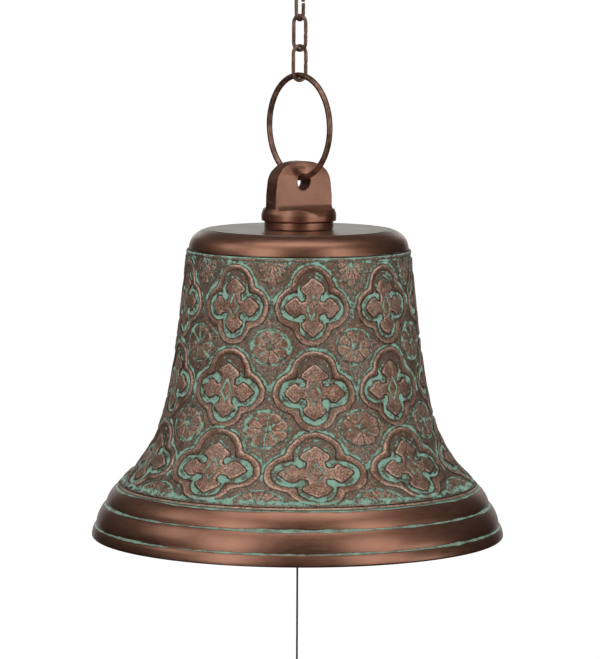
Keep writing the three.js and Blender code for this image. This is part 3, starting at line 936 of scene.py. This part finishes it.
def make_waist():
    columns = 1080
    rows = len(waist_line)
    degrees = np.linspace(0, 360, columns, endpoint=False)
    s_grid = np.repeat(ARC, columns)
    turn_grid = np.tile(degrees, rows)
    relief = make_relief(s_grid, turn_grid)
    grain = ripple(s_grid, turn_grid * relief.mm_per_degree, 5, 2.1) * 0.05
    out = relief.height + grain * smooth(relief.height, 0.3, 0.8) - TOP_OF_RELIEF
    normal = normals_of(waist_line)
    outer = waist_line[:, None, :] + normal[:, None, :] * blurred(out.reshape(rows, columns), 2)[:, :, None]
    outer[0, :, 0] = np.minimum(outer[0, :, 0], 76.4)
    outer[:, :, 1] = np.clip(outer[:, :, 1], SEAM_LIP, SEAM_CROWN)

    inner_line = respaced(waist_line - normal * (WALL + 0.2), 4.0)
    level = inner_line[:, 1]
    inner_line = inner_line[(level < SEAM_CROWN - 1.5) & (level > SEAM_LIP + 1.5)][::-1]
    inner_line = np.array([(119.6, SEAM_LIP), *inner_line, (73.7, SEAM_CROWN)])
    inner = np.repeat(inner_line[:, None, :], columns, axis=1)
    r, z = np.moveaxis(np.concatenate([outer, inner]), 2, 0)
    total_rows = len(r)
    a = np.radians(degrees)
    verts = np.stack([r * np.sin(a), -r * np.cos(a), z], axis=2)
    obj = new_object("embossed_waist", verts, ring_faces(total_rows, columns, close_rows=True), sharp=None)
    relief.height /= TOP_OF_RELIEF
    for name in WALL_VALUES:
        add_values(obj, name, np.concatenate([getattr(relief, name), np.zeros(len(inner_line) * columns)]))
    map_waist(obj, rows, total_rows, columns)
    finish_piece(obj, EMBOSSED, "waist_shell")
    obj.data.materials.append(INSIDE)
    rows_of_face = np.repeat(np.arange(total_rows), columns)
    obj.data.polygons.foreach_set("material_index", (rows_of_face >= rows).astype(np.int32))


def map_waist(obj, rows, total_rows, columns):
    """Two half turns of the outside one over the other, and the inside in a narrow strip below them."""
    mesh = obj.data
    layer = mesh.uv_layers.new(name="OFBake")
    vertex = np.empty(len(mesh.loops), np.int32)
    mesh.loops.foreach_get("vertex_index", vertex)
    row, column = np.divmod(vertex, columns)
    face_row, face_column = np.divmod(np.repeat(np.arange(len(mesh.polygons)), 4), columns)
    column = np.where((face_column == columns - 1) & (column == 0), columns, column)
    row = np.where((face_row == total_rows - 1) & (row == 0), total_rows, row)
    half = columns // 2
    second = face_column >= half
    inner = face_row >= rows - 1
    down = row / (rows - 1)
    depth = (row - (rows - 1)) / (total_rows - rows + 1)
    x = np.where(inner, column / columns, (column - half * second) / half)
    y = np.where(inner, 0.105 - 0.1 * depth, 0.995 - 0.445 * second - 0.435 * down)
    layer.data.foreach_set("uv", np.stack([0.002 + 0.996 * x, y], axis=1).ravel())


make_waist()


# -------- smooth turned copper: crown, lip, seat

BOLT_HOLE = 4.3


def grooved_piece(name, node, outline, grooves, segments, spacing, seed):
    """A turned piece that knows how near its points are to its grooves (radius, height, width, strength)."""
    profile = anticlockwise(densified(softened(outline, 5), spacing))
    obj = turned_piece(name, profile, segments, wobble=0.0007)
    turn = full_turn(segments)
    value = np.zeros((len(profile), segments))
    for k, (r, z, width, strength) in enumerate(grooves):
        distance = np.hypot(profile[:, 0] - r, profile[:, 1] - z)[:, None]
        wave = 0.24 * ripple(turn * r, 0 * turn, seed + k, 70)
        wave = wave + 0.14 * ripple(turn * r, 0 * turn, seed + 40 + k, 23)
        raise_to(value, strength * hump(distance, width * (1 + 1.4 * wave)) * (1 + wave))
    add_values(obj, "groove", value)
    return finish_piece(obj, COPPER, node)


CROWN_OUTLINE = (
    (BOLT_HOLE, -0.25), (61.4, -0.1, 0.3), (62.1, -0.75, 0.35), (62.9, -0.35, 0.4), (65.8, -1.15, 1.4),
    (68.7, -2.7, 1.6), (71.5, -5.1, 1.6), (73.3, -8.2, 1.7), (74.2, -11.6, 1.2), (74.45, -13.5, 0.25),
    (73.1, -13.7, 0.2), (73.1, -22, 0.5), (70.9, -22, 0.5), (70.8, -12.2, 1.5), (68.6, -7.8, 1.8),
    (62, -3, 2.2), (BOLT_HOLE, -3),
)
CROWN_GROOVES = ((62.1, -0.6, 0.75, 0.62), (74.6, -13.9, 0.9, 0.8))

LIP_OUTLINE = (
    (119.4, -174.35), (122.3, -174.35), (123.3, -174.7, 0.5), (125.6, -177.0, 1.4), (127.8, -180.0, 1.5),
    (129.4, -183.2, 1.4), (130.1, -185.9, 0.6), (130.3, -186.5, 0.2), (131.2, -186.75, 0.5),
    (132.5, -188.3, 1.0), (134.2, -191.1, 1.4), (135.6, -194.2, 1.4), (136.5, -197.3, 1.4),
    (136.8, -200.1, 0.6), (137.0, -200.8, 0.2), (138.1, -201.15, 0.5), (139.0, -203.2, 0.9),
    (139.7, -206, 0.9), (139.85, -208, 0.5), (138.9, -208.85, 0.6), (131.6, -208.85, 0.8),
    (127.5, -201, 3.0), (123, -190, 3.0), (119.7, -180, 2.0),
)
LIP_GROOVES = ((122.9, -174.3, 1.4, 1.15), (130.5, -186.6, 1.15, 0.98), (137.2, -200.9, 1.1, 0.93))

SEAT_OUTLINE = ((BOLT_HOLE, 5.25), (23.1, 5.25, 0.3), (23.35, 4.9, 0.2))
SEAT_OUTLINE += ((23.35, 0.35, 0.2), (BOLT_HOLE, 0.35))
SEAT_GROOVES = ((23.6, 0.4, 0.5, 0.18),)

grooved_piece("crown", "crown_cap", CROWN_OUTLINE, CROWN_GROOVES, 256, 0.7, 3)
grooved_piece("lip", "lip_ring", LIP_OUTLINE, LIP_GROOVES, 320, 0.6, 11)
grooved_piece("seat", "lug_seat", SEAT_OUTLINE, SEAT_GROOVES, 128, 0.8, 17)


# -------- hanger lug

SEAT_TOP = 5.6
COLLAR_RADIUS = 25.3
COLLAR_TOP = 10.5
LUG_TOP = 45.8
LUG_WIDE = 24.0
LUG_THICK = 6.0
LUG_HOLE = 5.4
LUG_HOLE_HEIGHT = 31.85
ON_AXIS = 0.001  # the radius of a turned solid's closed ends
PAST_LUG = 40.0  # how far the shapes that cut the lug reach


def loose_mesh(name, verts, faces):
    """A mesh object left in millimetres."""
    mesh = bpy.data.meshes.new(name)
    mesh.from_pydata(np.asarray(verts).tolist(), [], [list(map(int, f)) for f in faces])
    mesh.validate()
    obj = linked(name, mesh)
    recalculate(obj)
    return obj


def extruded(name, outline, half, axis):
    """An outline given in (across, height), made solid from -half to half along axis 0 or 1."""
    outline = np.asarray(outline)
    count = len(outline)
    verts = np.zeros((2, count, 3))
    verts[:, :, 1 - axis] = outline[:, 0]
    verts[:, :, 2] = outline[:, 1]
    verts[:, :, axis] = [[-half], [half]]
    i = np.arange(count)
    j = (i + 1) % count
    faces = [list(i), list(i[::-1] + count)] + np.stack([i, i + count, j + count, j], axis=1).tolist()
    return loose_mesh(name, verts.reshape(-1, 3), faces)


def apply_modifiers(obj):
    graph = bpy.context.evaluated_depsgraph_get()
    mesh = bpy.data.meshes.new_from_object(obj.evaluated_get(graph))
    obj.modifiers.clear()
    old = obj.data
    obj.data = mesh
    bpy.data.meshes.remove(old)


def combine(obj, other, operation):
    modifier = obj.modifiers.new("combine", "BOOLEAN")
    modifier.operation = operation
    modifier.solver = "EXACT"
    modifier.object = other
    apply_modifiers(obj)
    bpy.data.objects.remove(other)


def solid_round(name, profile, segments):
    """A turned solid that reaches the axis."""
    grid = revolved(np.asarray(profile, float), segments)
    faces = ring_faces(len(profile), segments).tolist()
    faces += [list(range(segments)), list(range((len(profile) - 1) * segments, len(profile) * segments))]
    return loose_mesh(name, grid.reshape(-1, 3), faces)


def arch_outline():
    """The lug from the front: sides that lean in, and a broad arch over them."""
    foot = COLLAR_TOP + 2.1
    side = [(COLLAR_RADIUS + 1, SEAT_TOP - 1), (COLLAR_RADIUS + 1, foot), (LUG_WIDE + 0.7, foot + 1.6)]
    side += [(LUG_WIDE - 0.4, 19), (22.4, 30)]
    controls = np.array([(22.4, 30), (21.6, 40), (14, LUG_TOP), (0, LUG_TOP)])
    t = np.linspace(0, 1, 24)[1:, None]
    weights = np.hstack([(1 - t) ** 3, 3 * t * (1 - t) ** 2, 3 * t * t * (1 - t), t**3])
    half = [*side, *(weights @ controls)]
    return half + [(-x, y) for x, y in reversed(half[:-1])]


def side_outline():
    """The lug from the side: a shelf, a fillet, and the flat tongue."""
    shelf = 13.6
    fillet = 2.6
    half = [(COLLAR_RADIUS + 1, SEAT_TOP - 1), (COLLAR_RADIUS + 0.2, 8.6), (COLLAR_RADIUS - 0.3, 10.6)]
    half += [(24.0, 12.0), (22.4, 13.1), (20.4, 13.8), (18.2, 14.0), (12, shelf)]
    for a in np.radians(np.linspace(270, 180, 9)):
        half.append((LUG_THICK + fillet + fillet * math.cos(a), shelf + fillet + fillet * math.sin(a)))
    half += [(LUG_THICK, LUG_TOP - 9), (LUG_THICK - 0.9, LUG_TOP + 2)]
    return half + [(-x, y) for x, y in reversed(half)]


def make_lug():
    body = [(ON_AXIS, SEAT_TOP), (COLLAR_RADIUS - 0.3, SEAT_TOP), (COLLAR_RADIUS, SEAT_TOP + 0.6)]
    body += [(COLLAR_RADIUS, COLLAR_TOP - 0.6), (COLLAR_RADIUS - 0.25, COLLAR_TOP + 0.6)]
    body += [(COLLAR_RADIUS - 0.75, COLLAR_TOP + 1.8), (24.0, 14.2), (24.0, 17.5)]
    body += [(24.0, LUG_TOP + 3), (ON_AXIS, LUG_TOP + 3)]
    lug = solid_round("hanger_lug_body", body, 128)
    combine(lug, extruded("front", arch_outline(), PAST_LUG, 1), "INTERSECT")
    combine(lug, extruded("side", side_outline(), PAST_LUG, 0), "INTERSECT")
    turn = full_turn(48)
    hole = np.stack([LUG_HOLE * np.cos(turn), LUG_HOLE_HEIGHT + LUG_HOLE * np.sin(turn)], axis=1)
    combine(lug, extruded("hole", hole, PAST_LUG, 1), "DIFFERENCE")
    low, high = SEAT_TOP - 2, 15.5
    bore = [(ON_AXIS, low), (BOLT_HOLE, low), (BOLT_HOLE, high), (ON_AXIS, high)]
    combine(lug, solid_round("bore", bore, 48), "DIFFERENCE")
    remesh = lug.modifiers.new("remesh", "REMESH")
    remesh.mode = "VOXEL"
    remesh.voxel_size = 0.36
    remesh.adaptivity = 0
    blur = lug.modifiers.new("smooth", "SMOOTH")
    blur.factor = 0.5
    blur.iterations = 2
    apply_modifiers(lug)
    shape_lug(lug.data)
    return lug


def shape_lug(mesh):
    """Lowers the casting's shelf, wears its faces where the ring rubs, and turns it into metres."""
    co = np.empty(len(mesh.vertices) * 3)
    mesh.vertices.foreach_get("co", co)
    co = co.reshape(-1, 3)
    x, y, z = co.T
    face = smooth(np.abs(y), LUG_THICK - 1.2, LUG_THICK - 0.2) * (np.abs(y) < LUG_THICK + 1.5)
    side = np.sign(y) * -1  # the ring has worn each face on its own left
    wear = hump(x * side + 2.2, 4.6) * hump(z - 39.2, 3.6)
    inwards = 0.95 * wear * smooth(z, LUG_HOLE_HEIGHT, LUG_HOLE_HEIGHT + 5)
    co[:, 1] -= np.sign(y) * face * inwards
    co += 0.06 * np.stack([ripple(y, z, 71, 9), ripple(x, z, 72, 11), 0 * x], axis=1)
    on_shelf = smooth(z, 11.5, 13.0) * smooth(np.abs(y), LUG_THICK + 1.2, LUG_THICK + 3)
    co[:, 2] -= 0.7 * on_shelf * smooth(24 - np.hypot(x, y), 0, 5)
    co *= MM
    co[:, 2] += CROWN
    mesh.vertices.foreach_set("co", co.ravel())
    mesh.polygons.foreach_set("use_smooth", np.ones(len(mesh.polygons), bool))


finish_piece(make_lug(), COPPER, "hanger_lug")


# -------- ring, chain and hook

RING_RADIUS = 34.45
RING_WIRE = 1.98
RING_WELD = 250  # degrees round the ring
LINK_WIRE = 1.25
LINK_HALF = 5.15  # from the link's middle to its wire's
LINK_BOW = 6.4  # from the link's middle to its bows' centres
LINK_TURNS = (0, -75, 27, -58)
LINK_SEAMS = (0.02, 0.06, 0.7, 0.3)  # how far each link's butt ends stand apart
HOOK_WIRE = 2.0
HOOK_BOWS = (8.0, 12.0)
HOOK_TIP = 45
HOOK_TURN = 30
HOOK_LEAN = 40


def upright_arc(radius, centre, a):
    """Points at angles a on a circle in the XZ plane, round a point of the bell's axis."""
    return np.stack([radius * np.cos(a), 0 * a, centre + radius * np.sin(a)], axis=1)


def make_ring():
    """The hanging ring, bent from rod and brazed where its ends meet, near the bottom on the left."""
    a = full_turn(288)
    weld = hump(wrapped(np.degrees(a) - RING_WELD), 2.6)
    wire = RING_WIRE * (1 - 0.05 * weld + 0.008 * np.sin(7 * a) + 0.006 * np.sin(13 * a + 1))
    radius = RING_RADIUS * (1 + 0.0016 * np.sin(2 * a + 0.5))
    path = turned_about_z(upright_arc(radius, middle_level("hanging_ring"), a), 90)
    finish_piece(swept("ring", path, wire, sides=28, closed=True), WIRE, "hanging_ring")


def link_path(seam):
    """An oval link in its own plane, starting and ending at the seam in one leg."""
    leg = np.linspace(seam / 2, LINK_BOW, 9)[:-1]
    far = np.linspace(LINK_BOW, -LINK_BOW, 17)[1:-1]
    a = np.radians(np.linspace(0, 180, 25))
    x = [1 + 0 * leg, np.cos(a), -1 + 0 * far, -np.cos(a), 1 + 0 * leg]
    z = [leg, LINK_BOW + LINK_HALF * np.sin(a), far, -LINK_BOW - LINK_HALF * np.sin(a), -leg[::-1]]
    return LINK_HALF * np.concatenate(x), np.concatenate(z)


def make_link(number):
    node = f"chain_link_{number}"
    rng = np.random.default_rng(number)
    x, z = link_path(LINK_SEAMS[number - 1])
    run = np.linspace(0, 1, len(x))
    # The butt ends stand a little out of line with each other, as bent wire does.
    twist = 0.16 * rng.choice([-1, 1]) * (np.exp(-run / 0.05) - np.exp(-(1 - run) / 0.05))
    path = np.stack([x, twist, z + middle_level(node)], axis=1)
    wire = LINK_WIRE * (1 - 0.03 * hump(np.abs(z) - LINK_BOW, 2.2))
    link = swept(f"link_{number}", turned_about_z(path, LINK_TURNS[number - 1]), wire, sides=20)
    finish_piece(link, WIRE, node)


def make_hook():
    """The S-hook: two bows of one rod, one over the other, with a leaning spine between them."""
    low, high = levels("s_hook")
    lean, tip = np.radians([HOOK_LEAN, HOOK_TIP])
    small, large = HOOK_BOWS
    below = np.linspace(np.pi + lean - tip, 2 * np.pi + lean, 48)
    above = np.linspace(np.pi + lean, lean - tip, 56)
    lower = upright_arc(small, low + HOOK_WIRE + small, below)
    upper = upright_arc(large, high - HOOK_WIRE - large, above)
    path = turned_about_z(respaced(np.vstack([lower, upper]), 0.8), HOOK_TURN)
    finish_piece(swept("hook", path, HOOK_WIRE * 0.99, sides=28), WIRE, "s_hook")


make_ring()
for link_number in (1, 2, 3, 4):
    make_link(link_number)
make_hook()


# -------- fixing bolt and clapper

NUT_FLATS = 12.9
NUT_SIDES = 96
THREAD_PITCH = 1.25
THREAD_DEPTH = 0.45


def hexagon_nut(name, node, bore):
    """A hexagonal nut with its corners chamfered at both faces, and a thread's first turn at the bore."""
    low, high = levels(node)
    turn = full_turn(NUT_SIDES)
    flat = NUT_FLATS / 2
    hexagon = flat / np.cos((turn + np.pi / 6) % (np.pi / 3) - np.pi / 6)
    chamfer = ((0, 0), (0.5, 0.22), (1, 0.9))
    rows = []
    for share, height in [(s, high - h) for s, h in chamfer] + [(s, low + h) for s, h in reversed(chamfer)]:
        limit = flat + (NUT_FLATS / math.sqrt(3) - flat) * share
        rows.append(level_arc(np.minimum(hexagon, limit), height, turn))
    for height in np.linspace(low, high, 2 * int((high - low) / 1.2) + 1):
        inner = bore + (THREAD_DEPTH if height in (low, high) else 0.0)
        rows.append(level_arc(inner, height, turn))
    nut = new_object(name, rows, ring_faces(len(rows), NUT_SIDES, close_rows=True), 25)
    finish_piece(nut, STEEL, node)


def threaded(radius, top, bottom):
    """Outline of a threaded rod from top to bottom, as points (radius, height)."""
    root = radius - THREAD_DEPTH
    points = []
    for i in range(int((top - bottom) / THREAD_PITCH)):
        z = top - i * THREAD_PITCH
        points += [(radius, z - 0.1), (radius, z - 0.4), (root, z - 0.75), (root, z - 0.9)]
    return points


def eye_wire(name, radius, wire, centre, plane_turn=0):
    a = full_turn(120)
    path = turned_about_z(upright_arc(radius, centre, a), plane_turn)
    return swept(name, path, wire * (1 + 0.01 * np.sin(9 * a)), sides=20, closed=True)


def joined_pieces(first, *others):
    """One object from several that touch."""
    with bpy.context.temp_override(active_object=first, selected_editable_objects=[first, *others]):
        bpy.ops.object.join()
    return first


def make_washer():
    low, high = levels("crown_washer")
    edge = 0.35
    outline = [(4.35, high), (13.6, high, edge), (13.95, high - 0.4, edge)]
    outline += [(13.95, low + 0.4, edge), (13.6, low, edge), (4.35, low)]
    washer = turned_piece("washer", densified(softened(outline, 3), 1.2), 72)
    finish_piece(washer, STEEL, "crown_washer")


def square_wire(count, turn):
    """The section of square wire with rounded corners."""
    corner = 1.05 / (np.abs(np.cos(turn)) ** 5 + np.abs(np.sin(turn)) ** 5) ** 0.2
    return np.broadcast_to(corner, (count, len(turn)))


def make_lock_washer():
    a = np.radians(np.linspace(6, 354, 110))
    rise = np.linspace(-0.12, 0.12, len(a))
    path = level_arc(5.75, middle_level("lock_washer") + rise, a)
    finish_piece(swept("split_washer", path, 0.82, sides=24, section=square_wire), STEEL, "lock_washer")


def make_eyebolt():
    low, top = levels("clapper_eyebolt")
    wire = 2.5
    radius = 8.0
    centre = low + wire + radius
    foot = centre + radius - 0.6
    outline = [(0.01, top), (3.3, top), (3.95, top - 0.8), *threaded(3.95, top - 1, foot + 4)]
    outline += [(3.95, foot + 3), (3.6, foot + 1.2), (3.1, foot), (0.01, foot)]
    shank = turned_piece("shank", np.array(outline), 48, closed=False, sharp=30)
    finish_piece(joined_pieces(eye_wire("eyebolt", radius, wire, centre), shank), STEEL, "clapper_eyebolt")


def make_clapper_ring():
    wire = 1.6
    radius = reach("clapper_ring", 2) - wire
    ring = eye_wire("small_ring", radius, wire * 0.99, middle_level("clapper_ring"), 90)
    finish_piece(ring, STEEL, "clapper_ring")


def make_rod():
    low, top = levels("clapper_rod")
    nut_top = levels("clapper_nut")[1]
    wire = 2.2
    radius = 7.0
    centre = top - wire - radius
    rod_top = centre - radius + 0.8
    outline = [(0.01, rod_top), (2.8, rod_top), (3.3, rod_top - 2.5), (3.45, rod_top - 5)]
    outline += [(3.4, z) for z in np.linspace(rod_top - 12, nut_top + 9, 14)]
    outline += [*threaded(3.45, nut_top + 7, low + 0.6), (3.0, low), (0.01, low)]
    rod = turned_piece("rod", np.array(outline), 40, closed=False, sharp=30)
    finish_piece(joined_pieces(eye_wire("rod_with_eye", radius, wire, centre), rod), IRON, "clapper_rod")


def make_ball():
    """The cast ball of the clapper, with flats and a faint parting line."""
    low, high = levels("clapper_ball")
    radius = 21.0
    flat = math.asin(7.0 / radius)
    a = np.linspace(flat, math.pi - flat, 90)
    swell = radius * (0.992 + 0.008 * hump(a - math.pi / 2, 0.03))
    wall = np.stack([swell * np.sin(a), (low + high) / 2 + swell * np.cos(a)], axis=1)
    profile = np.vstack([[(3.8, high), (6.4, high)], wall, [(6.4, low), (3.8, low)]])
    finish_piece(turned_piece("ball", profile, 160, wobble=0.0012), IRON, "clapper_ball")


def make_tail_eye():
    low, high = levels("clapper_tail_eye")
    wire = 1.3
    radius = 3.4
    foot = high - 7
    outline = [(3.8, high), (5.7, high, 0.3), (5.95, high - 0.5, 0.3), (5.95, foot + 2.2, 0.8)]
    outline += [(4.2, foot, 0.6), (0.01, foot), (0.01, foot + 1.5), (3.8, foot + 1.5)]
    nut = turned_piece("nut", densified(softened(outline, 4), 1.0), 64)
    eye = eye_wire("tail_eye", radius, wire * 0.98, low + wire + radius)
    finish_piece(joined_pieces(eye, nut), STEEL, "clapper_tail_eye")


make_washer()
make_lock_washer()
hexagon_nut("nut_in_crown", "crown_nut", BOLT_HOLE)
make_eyebolt()
make_clapper_ring()
make_rod()
hexagon_nut("nut_on_ball", "clapper_nut", 3.8)
make_ball()
make_tail_eye()


# -------- light and floor

ROOM_LOW = 0.015  # what glossy surfaces see near the horizon and overhead
ROOM_HIGH = 0.07
ROOM_DIFFUSE = 0.6
FLOOR_DROP = 3.5
FLOOR_HALF = 400.0


def soft_box(name, turn, rise, distance, width, height, power, color=(1, 1, 1)):
    """A rectangular lamp, turn degrees to the right of the camera and rise degrees up, aimed at the bell."""
    data = bpy.data.lights.new(name, "AREA")
    data.shape = "RECTANGLE"
    data.size = width
    data.size_y = height
    data.energy = power
    data.color = color
    lamp = linked(name, data)
    a = math.radians(VIEW_TURN + turn)
    e = math.radians(rise)
    centre = Vector((0, 0, CROWN - 0.1))
    away = Vector((math.sin(a) * math.cos(e), -math.cos(a) * math.cos(e), math.sin(e)))
    lamp.location = centre + away * distance
    lamp.rotation_euler = (centre - lamp.location).to_track_quat("-Z", "Y").to_euler()


def make_world():
    """White to the camera, a soft grey room for everything else."""
    world = bpy.data.worlds.new("room")
    bpy.context.scene.world = world
    world.use_nodes = True
    room = Nodes(world.node_tree)
    ray = room.node("LightPath")
    up = room.node("SeparateXYZ", {0: room.node("TexCoord")["Generated"]})["Z"]
    glossy = room.step(up, -0.15, 0.5, ROOM_LOW, ROOM_HIGH)
    reflected = room.node("Mix", {"Factor": ray["Is Glossy Ray"], "A": ROOM_DIFFUSE, "B": glossy})["Result"]
    seen = room.node("Mix", {"Factor": ray["Is Camera Ray"], "A": reflected, "B": 1.0})["Result"]
    background = room.tree.nodes["Background"]
    room.feed(background.inputs["Strength"], seen)
    room.feed(background.inputs["Color"], (1, 1, 1))


def make_floor():
    """A very large pale floor far below the hanging bell, so that the bell can be seen from underneath."""
    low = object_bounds()[0][2] - FLOOR_DROP
    mesh = bpy.data.meshes.new("floor")
    corners = [(a * FLOOR_HALF, b * FLOOR_HALF, low) for a, b in ((-1, -1), (1, -1), (1, 1), (-1, 1))]
    mesh.from_pydata(corners, [], [(0, 1, 2, 3)])
    floor = linked("floor", mesh)
    pale = Surface("floor")
    pale.set(color=(0.86, 0.86, 0.86), roughness=0.9, emission_color=(1, 1, 1), emission_strength=0.55)
    mesh.materials.append(pale.material)
    floor.visible_glossy = False


make_world()
make_floor()
soft_box("left_box", -39, 18, 2.6, 1.35, 2.3, 15.9)
soft_box("right_box", 44, 16, 2.6, 1.2, 2.3, 16.2)
soft_box("side_box", 72, -4, 2.6, 0.8, 0.8, 3.6)
soft_box("left_fill", -82, 33, 2.6, 1.1, 1.1, 4.9)
soft_box("top_box", 4, 76, 2.2, 2.8, 1.3, 17)
soft_box("low_box", -42, -44, 2.8, 1.2, 1.2, 5)
soft_box("back_box", 180, 9, 3.0, 1.7, 0.7, 3.7, (0.88, 1.0, 0.95))
soft_box("rim_left", -161, 2, 3.0, 0.9, 2.2, 3.2)
soft_box("rim_right", 161, 2, 3.0, 0.9, 2.2, 3.2)

bpy.context.scene.view_settings.view_transform = "Standard"
